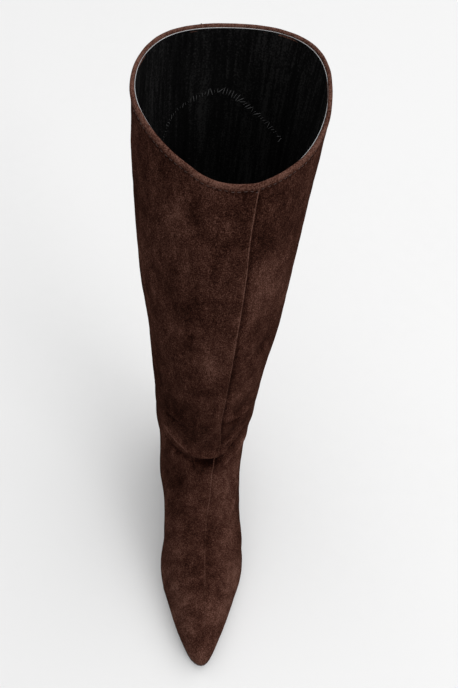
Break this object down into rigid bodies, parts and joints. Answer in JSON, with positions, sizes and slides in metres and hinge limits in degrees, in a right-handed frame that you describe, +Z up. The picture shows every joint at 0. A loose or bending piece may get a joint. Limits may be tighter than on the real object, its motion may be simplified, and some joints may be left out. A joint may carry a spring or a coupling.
{
  "type": "knee-high boot",
  "caption": "Pull-on knee-high boot for the left foot with a pointed toe, a straight tapering shaft and a slim block heel.",
  "frame": {"origin": "on the floor, under the middle of the boot's bounding box", "axes": "+Z up along the shaft, the toe points to -Y, +X is the outer (little-toe) side of the left foot"},
  "size_m": [0.1112, 0.2706, 0.4616],
  "materials": {
    "suede": "dark chocolate suede with a mottled nap, black fabric lining inside",
    "sock_lining": "black leather sock over the insole board, satin",
    "sole_leather": "near-black sole leather, satin, lightly grained",
    "heel_cover": "dark chocolate suede wrapped round the heel block",
    "lift_rubber": "matt black rubber top piece"
  },
  "bodies": {
    "root": {"upper": "suede", "insole": "sock_lining", "outsole": "sole_leather", "heel": "heel_cover", "heel_lift": "lift_rubber"}
  },
  "joints": []
}
